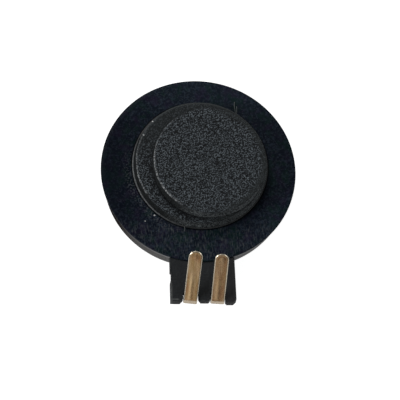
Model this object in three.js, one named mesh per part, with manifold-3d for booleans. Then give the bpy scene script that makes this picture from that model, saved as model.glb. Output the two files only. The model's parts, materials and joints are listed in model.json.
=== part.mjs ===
// Vibration coin motor with two spring contacts and a stepped foam pad, in millimetres, +Z up.
// The origin is on the shaft's axis, in the outer flat face of the steel case. The cover film,
// the foam pads and the spring contacts face +Z, and the terminal tab points along -Y.
import * as THREE from 'three';
import { mergeVertices } from 'three/addons/utils/BufferGeometryUtils.js';
import Module from 'manifold-3d';

const wasm = await Module();
wasm.setup();

// ---------------------------------------------------------------- driving dimensions

const ROUND = 72; // straight edges round a large circle
const SMALL_ROUND = 32; // and round a small one
const CORNER_STEPS = 4; // straight edges round a quarter turn of a bent or drawn corner
const SEAT = 0.005; // gap between pieces that rest on each other
const FIT = 0.02; // gap round a piece that sits in a pocket
const PAST = 1; // how far a cutting tool runs past what it cuts

const MOTOR_THICKNESS = 2.0; // case face to film face
const FILM_RADIUS = 5.0;
const FILM_THICKNESS = 0.2;
const FILM_LOW = MOTOR_THICKNESS - FILM_THICKNESS;

const CASE_RADIUS = 4.77;
const CASE_CORNER = 0.7; // outside radius between wall and face
const SHEET = 0.15; // case sheet thickness

const PLATE_RADIUS = 4.96;
const PLATE_THICKNESS = 0.2;
const PLATE_HIGH = FILM_LOW - SEAT;
const PLATE_LOW = PLATE_HIGH - PLATE_THICKNESS;
const CASE_HIGH = PLATE_LOW - SEAT;

const TONGUE_HALF_WIDTH = 1.38;
const TONGUE_END = -6.5;

const FLEX_THICKNESS = 0.08;
const FLEX_HIGH = PLATE_LOW - SEAT;
const FLEX_LOW = FLEX_HIGH - FLEX_THICKNESS;
const FLEX_HEAD_RADIUS = 2.38;
const FLEX_NECK_HALF_WIDTH = 0.95;
const FLEX_TAB_HALF_WIDTH = 1.26;
const FLEX_END = -6.38;

const SHAFT_RADIUS = 0.4;
const RUNNING_CLEARANCE = 0.02;
const BUSH_RADIUS = 0.8;
const WASHER_RADIUS = 0.95;
const WASHER_THICKNESS = 0.1;

const ROTOR_LOW = 0.3;
const ROTOR_RADIUS = 4.3;
const ROTOR_HUB_RADIUS = 1.95;
const ROTOR_OVERHANG = THREE.MathUtils.degToRad(6); // the moulding's sector is a little over a half turn
const BOARD_LOW = 0.95;
const BOARD_THICKNESS = 0.1;
const BOARD_HIGH = BOARD_LOW + BOARD_THICKNESS;
const BOARD_HUB_RADIUS = 2.2;
const POCKET_FLOOR = 0.06; // resin left under the coils and the counterweight

const SEGMENTS = 6;
const SEGMENT_THICKNESS = 0.025;
const SEGMENT_INNER = 1.0;
const SEGMENT_OUTER = 2.0;
const SEGMENT_GAP = THREE.MathUtils.degToRad(8);
const SEGMENT_HIGH = BOARD_HIGH + SEAT + SEGMENT_THICKNESS;

const COIL_OUTER = 0.95;
const COIL_INNER = 0.36;
const COIL_ORBIT = 3.12; // from the shaft's axis to the coil's
const COIL_ANGLE = THREE.MathUtils.degToRad(52); // either side of +Y
const WEIGHT_INNER = 2.35;
const WEIGHT_OUTER = 4.2;
const WEIGHT_HALF_ANGLE = THREE.MathUtils.degToRad(26);

const MAGNET_INNER = 2.5;
const MAGNET_OUTER = 4.4;
const MAGNET_LOW = 1.18;

const BRUSH_THICKNESS = 0.05;
const BRUSH_WIDTH = 0.3;
const BRUSH_OFFSET = 1.35; // in X from the shaft's axis
const BRUSH_ROOT = -1.85;
const BRUSH_KNEE = -1.25;
const BRUSH_TOUCH = 0.15;
const BRUSH_END = 0.5;

const BLOCK_LOW = 1.4;
const BLOCK_HIGH = 1.88;
const BLOCK_LEFT = -1.55;
const BLOCK_RIGHT = 1.8;
const BLOCK_RIGHT_ROOT = 1.73;
const BLOCK_ROOT = -4.3; // under the plate, before the case is cut away
const BLOCK_END = -7.14;
const RIGHT_FINGER_END = -7.17;
const BLOCK_WEB_END = -6.7; // where the slots for the contacts stop
const BLOCK_CHAMFER = 0.15;
const SIDE_NOTCH_DEPTH = 0.05;
const SIDE_NOTCH_START = -5.52;
const SIDE_NOTCH_END = -6.07;

const LEAF_WIDTH = 0.7;
const LEAF_THICKNESS = 0.1;
const LEAF_LENGTH = 2.76; // from the end of the bend to the tip
const BEND_RADIUS = 0.25; // to the middle of the strip
const BEND_Y = -6.9;
const BEND_Z = BLOCK_LOW + LEAF_THICKNESS / 2 + BEND_RADIUS;
const SPLIT_ANGLE = THREE.MathUtils.degToRad(188); // where the moving leaf leaves the fixed foot
const SPLIT_GAP = THREE.MathUtils.degToRad(4);
const FOOT_LENGTH = 1.45;
const BUMP_RADIUS = 0.24;
const BUMP_HEIGHT = 0.06;
const BUMP_FROM_TIP = 0.34;

// Each contact: where its bend sits in X, how far the leaf rises at rest, and how far the whole
// contact is turned about Z, because the two are soldered by hand and sit a little differently.
const CONTACTS = [
  { side: 'left', x: -0.53, rise: 47.5, turn: -5.5, slot: [-0.915, -0.13] },
  { side: 'right', x: 0.85, rise: 52.6, turn: -3.2, slot: [0.475, 1.235] },
];

const ADHESIVE = 0.04;
const LOWER_PAD = { lowRadius: 3.44, highRadius: 3.33, height: 0.5, x: 0.085, y: 0.22, waist: 0.02 };
const UPPER_PAD = { lowRadius: 2.87, highRadius: 2.88, height: 0.8, x: 0.48, y: -0.02, waist: 0.07 };

// ---------------------------------------------------------------- materials

function finish(color, roughness, metalness) {
  return new THREE.MeshStandardMaterial({ color, roughness, metalness });
}

const steel = finish(0x8d9094, 0.35, 1);
const plateSteel = finish(0x9a9c9e, 0.4, 1);
const shaftSteel = finish(0xb9bbbd, 0.2, 1);
const filmBlack = finish(0x15171c, 0.45, 0);
const blockPlastic = finish(0x2b2d31, 0.6, 0);
const contactGold = finish(0xb08b54, 0.3, 1);
const solder = finish(0xa6a8aa, 0.35, 1);
const foam = finish(0x2c2e31, 0.95, 0);
const tape = finish(0x70737a, 0.4, 0);
const ferrite = finish(0x3a3a3c, 0.5, 0.3);
const polyimide = finish(0x8a4a16, 0.4, 0);
const copper = finish(0xb06a3a, 0.35, 1);
const resin = finish(0x1c1d1c, 0.5, 0);
const board = finish(0x1d5a34, 0.5, 0);
const tungsten = finish(0x5c5d5f, 0.4, 1);
const bronze = finish(0x8c6a3c, 0.5, 1);
const nylon = finish(0xd8d4c6, 0.5, 0);

// ---------------------------------------------------------------- shapes and solids

function circle(radius, x = 0, y = 0) {
  return new THREE.Shape().absarc(x, y, radius, 0, 2 * Math.PI, false);
}

function ring(outer, inner, x = 0, y = 0) {
  const shape = circle(outer, x, y);
  shape.holes.push(new THREE.Path().absarc(x, y, inner, 0, 2 * Math.PI, true));
  return shape;
}

// A closed band between two radii and two angles.
function band(inner, outer, start, end) {
  const shape = new THREE.Shape();
  shape.absarc(0, 0, outer, start, end, false);
  shape.absarc(0, 0, inner, end, start, true);
  return shape;
}

function outline(points) {
  return new THREE.Shape(points.map(([x, y]) => new THREE.Vector2(x, y)));
}

function rectangle(left, right, near, far) {
  return outline([[left, near], [right, near], [right, far], [left, far]]);
}

// A flat piece with this outline, from z = low to z = high. Each arc in the outline gets this
// many straight edges.
function slab(shape, low, high, edges = SMALL_ROUND) {
  const geometry = new THREE.ExtrudeGeometry(shape, {
    depth: high - low,
    bevelEnabled: false,
    curveSegments: edges / 2,
  });
  return geometry.translate(0, 0, low);
}

// A solid of revolution about +Z from [radius, height] points.
function turned(points) {
  const profile = points.map(([radius, height]) => new THREE.Vector2(radius, height));
  return new THREE.LatheGeometry(profile, ROUND).rotateX(Math.PI / 2);
}

// Points of an arc in an [across, up] profile.
function arcPoints(centre, radius, start, end, steps) {
  return Array.from({ length: steps + 1 }, (_, step) => {
    const angle = start + ((end - start) * step) / steps;
    return [centre[0] + radius * Math.cos(angle), centre[1] + radius * Math.sin(angle)];
  });
}

// A side view in the Y, Z plane, made as wide as width and centred on X = 0.
function fromSide(shape, width) {
  const geometry = new THREE.ExtrudeGeometry(shape, {
    depth: width,
    bevelEnabled: false,
    curveSegments: CORNER_STEPS,
  });
  const turn = new THREE.Matrix4().makeBasis(
    new THREE.Vector3(0, 1, 0),
    new THREE.Vector3(0, 0, 1),
    new THREE.Vector3(1, 0, 0),
  );
  return geometry.translate(0, 0, -width / 2).applyMatrix4(turn);
}

function toSolid(geometry) {
  const bare = geometry.clone();
  bare.deleteAttribute('normal');
  bare.deleteAttribute('uv');
  const merged = mergeVertices(bare, 1e-5);
  return new wasm.Manifold(new wasm.Mesh({
    numProp: 3,
    vertProperties: Float32Array.from(merged.attributes.position.array),
    triVerts: Uint32Array.from(merged.index.array),
  }));
}

function toGeometry(solid) {
  const { vertProperties, triVerts } = solid.getMesh();
  const geometry = new THREE.BufferGeometry();
  geometry.setAttribute('position', new THREE.BufferAttribute(vertProperties, 3));
  geometry.setIndex(new THREE.BufferAttribute(triVerts, 1));
  geometry.computeVertexNormals();
  return geometry;
}

function cut(geometry, ...tools) {
  const rest = tools.reduce((solid, tool) => solid.subtract(toSolid(tool)), toSolid(geometry));
  return toGeometry(rest);
}

function join(geometry, ...others) {
  const whole = others.reduce((solid, other) => solid.add(toSolid(other)), toSolid(geometry));
  return toGeometry(whole);
}

function common(geometry, other) {
  return toGeometry(toSolid(geometry).intersect(toSolid(other)));
}

function piece(name, geometry, material) {
  const mesh = new THREE.Mesh(geometry, material);
  mesh.name = name;
  return mesh;
}

// ---------------------------------------------------------------- case, plate and film

// The drawn steel cup: its rim is open to +Z and has a notch where the flex circuit comes out.
function caseCup() {
  const inside = CASE_RADIUS - SHEET;
  const outerCorner = arcPoints(
    [CASE_RADIUS - CASE_CORNER, CASE_CORNER], CASE_CORNER, -Math.PI / 2, 0, CORNER_STEPS,
  );
  const innerCorner = arcPoints(
    [CASE_RADIUS - CASE_CORNER, CASE_CORNER], CASE_CORNER - SHEET, 0, -Math.PI / 2, CORNER_STEPS,
  );
  const cup = turned([
    [0, 0],
    ...outerCorner,
    [CASE_RADIUS, CASE_HIGH],
    [inside, CASE_HIGH],
    ...innerCorner,
    [0, SHEET],
  ]);
  const halfNotch = FLEX_NECK_HALF_WIDTH + 0.1;
  const notch = rectangle(-halfNotch, halfNotch, -FILM_RADIUS - PAST, -CASE_RADIUS + PAST);
  return cut(cup, slab(notch, FLEX_LOW - 0.05, CASE_HIGH + PAST));
}

function tongueOutline(clearance) {
  const half = TONGUE_HALF_WIDTH + clearance;
  return rectangle(-half, half, TONGUE_END - clearance, -PLATE_RADIUS + PAST);
}

function basePlate() {
  const disc = slab(circle(PLATE_RADIUS), PLATE_LOW, PLATE_HIGH, ROUND);
  const tongue = slab(tongueOutline(0), PLATE_LOW, PLATE_HIGH);
  const shaftHole = slab(circle(SHAFT_RADIUS + SEAT), PLATE_LOW - PAST, PLATE_HIGH + PAST);
  return cut(join(disc, tongue), shaftHole);
}

function coverFilm() {
  return slab(circle(FILM_RADIUS), FILM_LOW, MOTOR_THICKNESS, ROUND);
}

// ---------------------------------------------------------------- terminal tab and contacts

// The moulded block seen from above: three fingers at its end, with a slot round each contact.
function blockOutline() {
  const [left, right] = CONTACTS.map((contact) => contact.slot);
  const chamfer = BLOCK_CHAMFER;
  return outline([
    [BLOCK_LEFT, BLOCK_ROOT],
    [BLOCK_LEFT, SIDE_NOTCH_START],
    [BLOCK_LEFT + SIDE_NOTCH_DEPTH, SIDE_NOTCH_START],
    [BLOCK_LEFT + SIDE_NOTCH_DEPTH, SIDE_NOTCH_END],
    [BLOCK_LEFT, SIDE_NOTCH_END],
    [BLOCK_LEFT, BLOCK_END],
    [left[0] - chamfer, BLOCK_END],
    [left[0], BLOCK_END + chamfer],
    [left[0], BLOCK_WEB_END],
    [left[1], BLOCK_WEB_END],
    [left[1], BLOCK_END + chamfer],
    [left[1] + chamfer / 2, BLOCK_END + chamfer / 3],
    [right[0] - chamfer / 2, BLOCK_END + chamfer / 3],
    [right[0], BLOCK_END + chamfer],
    [right[0], BLOCK_WEB_END],
    [right[1], BLOCK_WEB_END],
    [right[1], RIGHT_FINGER_END],
    [BLOCK_RIGHT - chamfer, RIGHT_FINGER_END],
    [BLOCK_RIGHT, RIGHT_FINGER_END + chamfer],
    [BLOCK_RIGHT_ROOT, BLOCK_ROOT],
  ]);
}

function terminalBlock() {
  const footChannels = CONTACTS.map(({ x, turn }) => {
    const reach = LEAF_WIDTH / 2 + FIT;
    const lean = FOOT_LENGTH * Math.sin(THREE.MathUtils.degToRad(-turn));
    return slab(
      rectangle(x - reach, x + reach + lean, BLOCK_END - PAST, BLOCK_ROOT + PAST),
      BLOCK_LOW - PAST,
      BLOCK_LOW + LEAF_THICKNESS + FIT,
    );
  });
  const flexHalf = FLEX_TAB_HALF_WIDTH + FIT;
  return cut(
    slab(blockOutline(), BLOCK_LOW, BLOCK_HIGH),
    slab(circle(CASE_RADIUS + FIT), BLOCK_LOW - PAST, PLATE_LOW, ROUND),
    slab(circle(FILM_RADIUS + FIT), PLATE_LOW - SEAT, BLOCK_HIGH + PAST, ROUND),
    slab(tongueOutline(SEAT), PLATE_LOW - SEAT, PLATE_HIGH + SEAT),
    slab(
      rectangle(-flexHalf, flexHalf, FLEX_END - FIT, BLOCK_ROOT + PAST),
      FLEX_LOW - SEAT,
      PLATE_LOW,
    ),
    ...footChannels,
  );
}

// Puts a piece that was made round its bend's centre in its place on the tab.
function placeContact(mesh, contact) {
  mesh.position.set(contact.x, BEND_Y, BEND_Z);
  mesh.rotation.z = THREE.MathUtils.degToRad(contact.turn);
  return mesh;
}

// The fixed part of a contact: half the bend, and the strip that lies under the tab.
function contactFoot(contact) {
  const outer = BEND_RADIUS + LEAF_THICKNESS / 2;
  const inner = BEND_RADIUS - LEAF_THICKNESS / 2;
  const start = SPLIT_ANGLE + SPLIT_GAP;
  const bottom = 1.5 * Math.PI;
  const side = new THREE.Shape();
  side.absarc(0, 0, outer, start, bottom, false);
  side.lineTo(FOOT_LENGTH, -outer);
  side.lineTo(FOOT_LENGTH, -inner);
  side.absarc(0, 0, inner, bottom, start, true);
  const foot = fromSide(side, LEAF_WIDTH);
  return placeContact(piece(`contact_foot_${contact.side}`, foot, contactGold), contact);
}

// The moving part of a contact: the rest of the bend and the leaf, with a round tip and a bump.
function contactArm(contact) {
  const rise = THREE.MathUtils.degToRad(contact.rise);
  const along = new THREE.Vector3(0, Math.cos(rise), Math.sin(rise));
  const up = new THREE.Vector3(0, -Math.sin(rise), Math.cos(rise));
  const outer = BEND_RADIUS + LEAF_THICKNESS / 2;
  const inner = BEND_RADIUS - LEAF_THICKNESS / 2;
  const leave = rise + Math.PI / 2;
  const at = (radius, distance) => [
    distance * along.y + radius * up.y,
    distance * along.z + radius * up.z,
  ];
  const side = new THREE.Shape();
  side.absarc(0, 0, outer, SPLIT_ANGLE, leave, true);
  side.lineTo(...at(outer, LEAF_LENGTH));
  side.lineTo(...at(inner, LEAF_LENGTH));
  side.absarc(0, 0, inner, leave, SPLIT_ANGLE, false);

  const tipCentre = LEAF_LENGTH - LEAF_WIDTH / 2;
  const trim = new THREE.Shape();
  trim.moveTo(-PAST, LEAF_WIDTH / 2);
  trim.lineTo(-PAST, -LEAF_WIDTH / 2);
  trim.absarc(tipCentre, 0, LEAF_WIDTH / 2, -Math.PI / 2, Math.PI / 2, false);
  const across = new THREE.Vector3(1, 0, 0);
  const toLeaf = new THREE.Matrix4().makeBasis(along, across, up.clone().negate());
  const trimmer = slab(trim, -BEND_RADIUS - PAST / 2, 0, SMALL_ROUND / 2).applyMatrix4(toLeaf);

  const bumpPlace = at(outer + BUMP_HEIGHT - BUMP_RADIUS, LEAF_LENGTH - BUMP_FROM_TIP);
  const bump = new THREE.SphereGeometry(BUMP_RADIUS, SMALL_ROUND / 2, SMALL_ROUND / 4);
  bump.rotateX(Math.PI / 2 + rise);
  bump.translate(0, ...bumpPlace);
  const belowLeaf = slab(circle(PAST), -inner, PAST).applyMatrix4(toLeaf);
  belowLeaf.translate(0, ...at(0, LEAF_LENGTH - BUMP_FROM_TIP));

  const leaf = common(fromSide(side, LEAF_WIDTH), trimmer);
  const arm = cut(join(leaf, bump), belowLeaf);
  return placeContact(piece(`contact_arm_${contact.side}`, arm, contactGold), contact);
}

// The solder fillet between the end of a contact's foot and the flex circuit above it.
function solderFillet(contact) {
  const high = FLEX_LOW - SEAT - BEND_Z;
  const low = -BEND_RADIUS - LEAF_THICKNESS / 2 + FIT;
  const side = new THREE.Shape();
  side.moveTo(0, low);
  side.quadraticCurveTo(0.03, high - 0.03, 0.22, high - 0.01);
  side.lineTo(0.22, high);
  side.lineTo(0, high);
  const fillet = fromSide(side, LEAF_WIDTH - 0.06).translate(0, FOOT_LENGTH + SEAT, 0);
  return placeContact(piece(`solder_${contact.side}`, fillet, solder), contact);
}

// ---------------------------------------------------------------- inside, fixed

function shaft() {
  return slab(circle(SHAFT_RADIUS), SHEET + SEAT, PLATE_HIGH);
}

function washer(low) {
  const hole = SHAFT_RADIUS + RUNNING_CLEARANCE;
  return slab(ring(WASHER_RADIUS, hole), low, low + WASHER_THICKNESS);
}

// The ring magnet is glued to the plate and has a groove for the flex circuit's neck.
function magnetRing() {
  const body = slab(ring(MAGNET_OUTER, MAGNET_INNER), MAGNET_LOW, FLEX_HIGH, ROUND);
  const half = FLEX_NECK_HALF_WIDTH + FIT;
  const groove = rectangle(-half, half, -FILM_RADIUS, 0);
  return cut(body, slab(groove, FLEX_LOW - SEAT, FLEX_HIGH + PAST));
}

// The flex circuit: a round head for the brushes, a neck, and a wide end under the tab.
function brushFlex() {
  const head = slab(ring(FLEX_HEAD_RADIUS, SHAFT_RADIUS + 0.05), FLEX_LOW, FLEX_HIGH);
  const neck = slab(
    rectangle(-FLEX_NECK_HALF_WIDTH, FLEX_NECK_HALF_WIDTH, FLEX_END, -FLEX_HEAD_RADIUS / 2),
    FLEX_LOW,
    FLEX_HIGH,
  );
  const end = slab(
    rectangle(-FLEX_TAB_HALF_WIDTH, FLEX_TAB_HALF_WIDTH, FLEX_END, -FILM_RADIUS),
    FLEX_LOW,
    FLEX_HIGH,
  );
  return join(head, neck, end);
}

// A brush is a thin leaf: flat where it is soldered to the flex, sloping down, and flat again
// where it rides on the commutator.
function brush(offset) {
  const top = FLEX_LOW - SEAT;
  const foot = SEGMENT_HIGH + 2 * SEAT;
  const side = outline([
    [BRUSH_ROOT, top - BRUSH_THICKNESS],
    [BRUSH_KNEE, top - BRUSH_THICKNESS],
    [BRUSH_TOUCH, foot],
    [BRUSH_END, foot],
    [BRUSH_END, foot + BRUSH_THICKNESS],
    [BRUSH_TOUCH, foot + BRUSH_THICKNESS],
    [BRUSH_KNEE, top],
    [BRUSH_ROOT, top],
  ]);
  return fromSide(side, BRUSH_WIDTH).translate(offset, 0, 0);
}

// ---------------------------------------------------------------- rotor

// The rotor's outline: a hub all round the shaft and a sector on the +Y side.
function rotorOutline(hubRadius) {
  const shape = new THREE.Shape();
  shape.absarc(0, 0, ROTOR_RADIUS, -ROTOR_OVERHANG, Math.PI + ROTOR_OVERHANG, false);
  shape.absarc(0, 0, hubRadius, Math.PI + ROTOR_OVERHANG, 2 * Math.PI - ROTOR_OVERHANG, false);
  return shape;
}

function coilCentre(side) {
  return [side * COIL_ORBIT * Math.sin(COIL_ANGLE), COIL_ORBIT * Math.cos(COIL_ANGLE)];
}

function weightOutline(clearance) {
  const middle = Math.PI / 2;
  const half = WEIGHT_HALF_ANGLE + clearance / WEIGHT_INNER;
  return band(WEIGHT_INNER - clearance, WEIGHT_OUTER + clearance, middle - half, middle + half);
}

function rotorMoulding() {
  const floor = ROTOR_LOW + POCKET_FLOOR;
  const coilPockets = [-1, 1].map((side) => slab(
    ring(COIL_OUTER + FIT, COIL_INNER - FIT, ...coilCentre(side)), floor, BOARD_LOW + PAST,
  ));
  return cut(
    slab(rotorOutline(ROTOR_HUB_RADIUS), ROTOR_LOW, BOARD_LOW - SEAT),
    slab(circle(BUSH_RADIUS + SEAT), ROTOR_LOW - PAST, BOARD_LOW + PAST),
    slab(weightOutline(FIT), floor, BOARD_LOW + PAST),
    ...coilPockets,
  );
}

function rotorBoard() {
  const blank = slab(rotorOutline(BOARD_HUB_RADIUS), BOARD_LOW, BOARD_HIGH);
  const bushHole = slab(circle(BUSH_RADIUS + SEAT), BOARD_LOW - PAST, BOARD_HIGH + PAST);
  return cut(blank, bushHole);
}

function bearingBush() {
  const low = SHEET + WASHER_THICKNESS + 3 * SEAT;
  const high = FLEX_LOW - WASHER_THICKNESS - 3 * SEAT;
  return slab(ring(BUSH_RADIUS, SHAFT_RADIUS + RUNNING_CLEARANCE), low, high);
}

function commutatorSegment(index) {
  const pitch = (2 * Math.PI) / SEGMENTS;
  const start = index * pitch + SEGMENT_GAP / 2;
  const shape = band(SEGMENT_INNER, SEGMENT_OUTER, start, start + pitch - SEGMENT_GAP);
  return slab(shape, BOARD_HIGH + SEAT, SEGMENT_HIGH, SMALL_ROUND / 4);
}

function coil(side) {
  const shape = ring(COIL_OUTER, COIL_INNER, ...coilCentre(side));
  return slab(shape, ROTOR_LOW + POCKET_FLOOR + SEAT, BOARD_LOW - FIT);
}

function counterweight() {
  return slab(weightOutline(0), ROTOR_LOW + POCKET_FLOOR + SEAT, BOARD_LOW - FIT);
}

// ---------------------------------------------------------------- foam pads

// A die-cut foam disc: its side pulls in a little towards the middle of its height.
function foamPad(pad, low) {
  const side = Array.from({ length: CORNER_STEPS + 1 }, (_, step) => {
    const share = step / CORNER_STEPS;
    const straight = THREE.MathUtils.lerp(pad.lowRadius, pad.highRadius, share);
    return [straight - pad.waist * Math.sin(Math.PI * share), low + pad.height * share];
  });
  return turned([[0, low], ...side, [0, low + pad.height]]).translate(pad.x, pad.y, 0);
}

function adhesiveDisc(pad, extra, low) {
  return slab(circle(pad.lowRadius + extra, pad.x, pad.y), low, low + ADHESIVE, ROUND);
}

// ---------------------------------------------------------------- assembly

function shell() {
  const group = new THREE.Group();
  group.add(piece('case_cup', caseCup(), steel));
  group.add(piece('base_plate', basePlate(), plateSteel));
  group.add(piece('cover_film', coverFilm(), filmBlack));
  group.add(piece('terminal_block', terminalBlock(), blockPlastic));
  return group;
}

function contacts() {
  const group = new THREE.Group();
  for (const contact of CONTACTS) {
    group.add(contactFoot(contact), contactArm(contact), solderFillet(contact));
  }
  return group;
}

function stator() {
  const group = new THREE.Group();
  group.add(piece('shaft', shaft(), shaftSteel));
  group.add(piece('thrust_washer_lower', washer(SHEET + SEAT), nylon));
  group.add(piece('thrust_washer_upper', washer(FLEX_LOW - WASHER_THICKNESS - SEAT), nylon));
  group.add(piece('magnet_ring', magnetRing(), ferrite));
  group.add(piece('brush_flex', brushFlex(), polyimide));
  group.add(piece('brush_left', brush(-BRUSH_OFFSET), contactGold));
  group.add(piece('brush_right', brush(BRUSH_OFFSET), contactGold));
  return group;
}

function rotor() {
  const group = new THREE.Group();
  group.add(piece('rotor_moulding', rotorMoulding(), resin));
  group.add(piece('rotor_board', rotorBoard(), board));
  group.add(piece('bearing_bush', bearingBush(), bronze));
  group.add(piece('counterweight', counterweight(), tungsten));
  group.add(piece('coil_left', coil(-1), copper));
  group.add(piece('coil_right', coil(1), copper));
  for (let index = 0; index < SEGMENTS; index += 1) {
    group.add(piece(`commutator_segment_${index + 1}`, commutatorSegment(index), contactGold));
  }
  return group;
}

function foamStack() {
  const group = new THREE.Group();
  let low = MOTOR_THICKNESS + SEAT;
  group.add(piece('foam_adhesive', adhesiveDisc(LOWER_PAD, 0.08, low), tape));
  low += ADHESIVE + SEAT;
  group.add(piece('foam_lower', foamPad(LOWER_PAD, low), foam));
  low += LOWER_PAD.height + SEAT;
  group.add(piece('foam_adhesive_mid', adhesiveDisc(UPPER_PAD, 0.02, low), tape));
  low += ADHESIVE + SEAT;
  group.add(piece('foam_upper', foamPad(UPPER_PAD, low), foam));
  return group;
}

const motor = new THREE.Group();
motor.add(shell(), contacts(), stator(), rotor(), foamStack());

export default motor;
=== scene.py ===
"""Looks of the vibration coin motor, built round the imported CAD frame. All lengths are in metres.

+Z runs along the shaft, from the steel case to the foam pads, and the terminal tab points along -Y.
"""

import json
import math

import bmesh
import bpy
from mathutils import Matrix, Vector, noise


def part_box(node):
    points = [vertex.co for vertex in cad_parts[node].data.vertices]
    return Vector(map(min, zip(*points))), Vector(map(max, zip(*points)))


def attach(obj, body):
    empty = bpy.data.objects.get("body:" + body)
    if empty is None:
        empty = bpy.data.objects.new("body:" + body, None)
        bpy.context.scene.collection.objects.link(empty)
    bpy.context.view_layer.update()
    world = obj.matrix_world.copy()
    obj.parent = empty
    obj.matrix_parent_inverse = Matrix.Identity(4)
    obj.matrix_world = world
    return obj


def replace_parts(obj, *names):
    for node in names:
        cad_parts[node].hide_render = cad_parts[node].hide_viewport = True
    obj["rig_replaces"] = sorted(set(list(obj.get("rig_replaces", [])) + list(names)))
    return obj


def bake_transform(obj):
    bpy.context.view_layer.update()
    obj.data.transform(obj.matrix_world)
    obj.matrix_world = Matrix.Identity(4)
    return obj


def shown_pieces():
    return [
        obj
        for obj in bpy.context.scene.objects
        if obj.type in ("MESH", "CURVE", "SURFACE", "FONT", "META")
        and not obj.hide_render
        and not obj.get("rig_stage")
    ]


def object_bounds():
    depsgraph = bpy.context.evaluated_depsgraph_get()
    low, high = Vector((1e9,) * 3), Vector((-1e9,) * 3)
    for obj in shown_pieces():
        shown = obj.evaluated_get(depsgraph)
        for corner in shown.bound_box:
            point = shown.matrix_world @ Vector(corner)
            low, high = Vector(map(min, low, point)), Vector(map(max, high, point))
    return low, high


MM = 0.001
TURN = 2 * math.pi
MOTOR = "motor_body"

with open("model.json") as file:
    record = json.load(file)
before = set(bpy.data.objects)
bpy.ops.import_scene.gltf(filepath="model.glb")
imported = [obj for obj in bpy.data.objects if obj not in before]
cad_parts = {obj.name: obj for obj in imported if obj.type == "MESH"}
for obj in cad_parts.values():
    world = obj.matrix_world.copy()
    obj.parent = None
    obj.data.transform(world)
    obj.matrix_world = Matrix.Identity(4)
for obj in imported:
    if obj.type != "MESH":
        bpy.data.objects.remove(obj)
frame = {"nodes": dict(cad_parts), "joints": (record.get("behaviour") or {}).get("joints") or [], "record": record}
cad_low, cad_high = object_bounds()

# ---------------------------------------------------------------- sizes taken from the frame

_, CASE_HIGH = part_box("case_cup")
FILM_LOW, FILM_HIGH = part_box("cover_film")
FILM_RADIUS = FILM_HIGH.x
FILM_TOP = FILM_HIGH.z


def box_disc(node):
    """(centre x, centre y, radius, low, high) of a round CAD node."""
    low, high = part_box(node)
    return (low.x + high.x) / 2, (low.y + high.y) / 2, (high.x - low.x) / 2, low.z, high.z


# ---------------------------------------------------------------- sizes of the foam pads and tapes

LOWER_TAPE_RADIUS = 3.48 * MM  # this tape's edge stands out a little from under the foam
UPPER_TAPE_RADIUS = 2.84 * MM

# waist is how far the middle of the wall is drawn in, and seed sets its unevenness. The rest sets
# the look: the top edge's beads, a painted highlight, are full from the given share of the radius
# outwards on the -X side, at the given strength; the wall's brightness sets how far painted shade
# darkens the wall, and calm is how much of the face's grain is smoothed away on the +Y side. above is
# the pad that stands on this one, and under it this face gets painted shade in the corner and a
# painted highlight on its rim.
PADS = {
    "foam_lower": {
        "piece": "foam_pad_lower",
        "low_radius": 3.44 * MM,
        "top_radius": 3.33 * MM,
        "waist": 0.02 * MM,
        "seed": 1.0,
        "bead_highlight_start": 0.90,
        "bead_highlight_share": 0.5,
        "wall_painted_brightness": 0.8,
        "calm": 0.7,
        "above": "foam_upper",
    },
    "foam_upper": {
        "piece": "foam_pad_upper",
        "low_radius": 2.87 * MM,
        "top_radius": 2.88 * MM,
        "waist": 0.07 * MM,
        "seed": 7.0,
        "bead_highlight_start": 0.64,
        "bead_highlight_share": 0.75,
        "wall_painted_brightness": 1.0,
        "calm": 0.0,
        "above": None,
    },
}

# ---------------------------------------------------------------- camera

AZIMUTH = math.radians(-12.6)
ELEVATION = math.radians(67.0)
ROLL = math.radians(12.3)
LENS = 500.0
SENSOR = 36.0
VIEW_WIDTH = 20.41 * MM  # what the picture's width spans at the film
VIEW_CENTRE = Vector((0.045, -1.649, 2.0)) * MM


def direction(azimuth, elevation):
    """The unit vector towards a camera or a light. Azimuth 0 is on the tab's side, and 90 degrees on +X."""
    return Vector((
        math.sin(azimuth) * math.cos(elevation),
        -math.cos(azimuth) * math.cos(elevation),
        math.sin(elevation),
    ))


def make_camera():
    """A long lens that looks down on the foam side, rolled a little."""
    back = direction(AZIMUTH, ELEVATION)
    level = Vector((math.cos(AZIMUTH), math.sin(AZIMUTH), 0))
    upright = back.cross(level)
    right = level * math.cos(ROLL) + upright * math.sin(ROLL)
    up = back.cross(right)
    data = bpy.data.cameras.new("camera")
    data.sensor_width = SENSOR
    data.lens = LENS
    data.clip_start = 1 * MM
    data.clip_end = 2.0
    camera = bpy.data.objects.new("camera", data)
    bpy.context.scene.collection.objects.link(camera)
    place = VIEW_CENTRE + back * (VIEW_WIDTH * LENS / SENSOR)
    turned = Matrix((right, up, back)).transposed().to_4x4()
    camera.matrix_world = Matrix.Translation(place) @ turned
    bpy.context.scene.camera = camera


make_camera()

# ---------------------------------------------------------------- lights and floor

# Angles are in degrees and powers in watts.
LIGHTS = {
    "key_light": {"azimuth": -75, "elevation": 32, "distance": 0.30, "size": 0.10, "power": 0.42},
    "back_light": {"azimuth": 200, "elevation": 52, "distance": 0.30, "size": 0.12, "power": 0.22},
    "fill_light": {"azimuth": 75, "elevation": 40, "distance": 0.30, "size": 0.16, "power": 0.14},
    "front_light": {"azimuth": -9, "elevation": 15, "distance": 0.28, "size": 0.11, "power": 0.024},
}
SKY_COLOUR = (0.94, 0.97, 1.0, 1)
SKY_STRENGTH = 0.16
FLOOR_HALF_WIDTH = 0.6
FLOOR_GAP = 0.01 * MM
FLOOR_GREY = 0.6
FLOOR_GLOW = 0.2  # what the floor gives off to the motor
FLOOR_GLOW_SEEN = 0.88  # what the camera sees it give off


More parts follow.
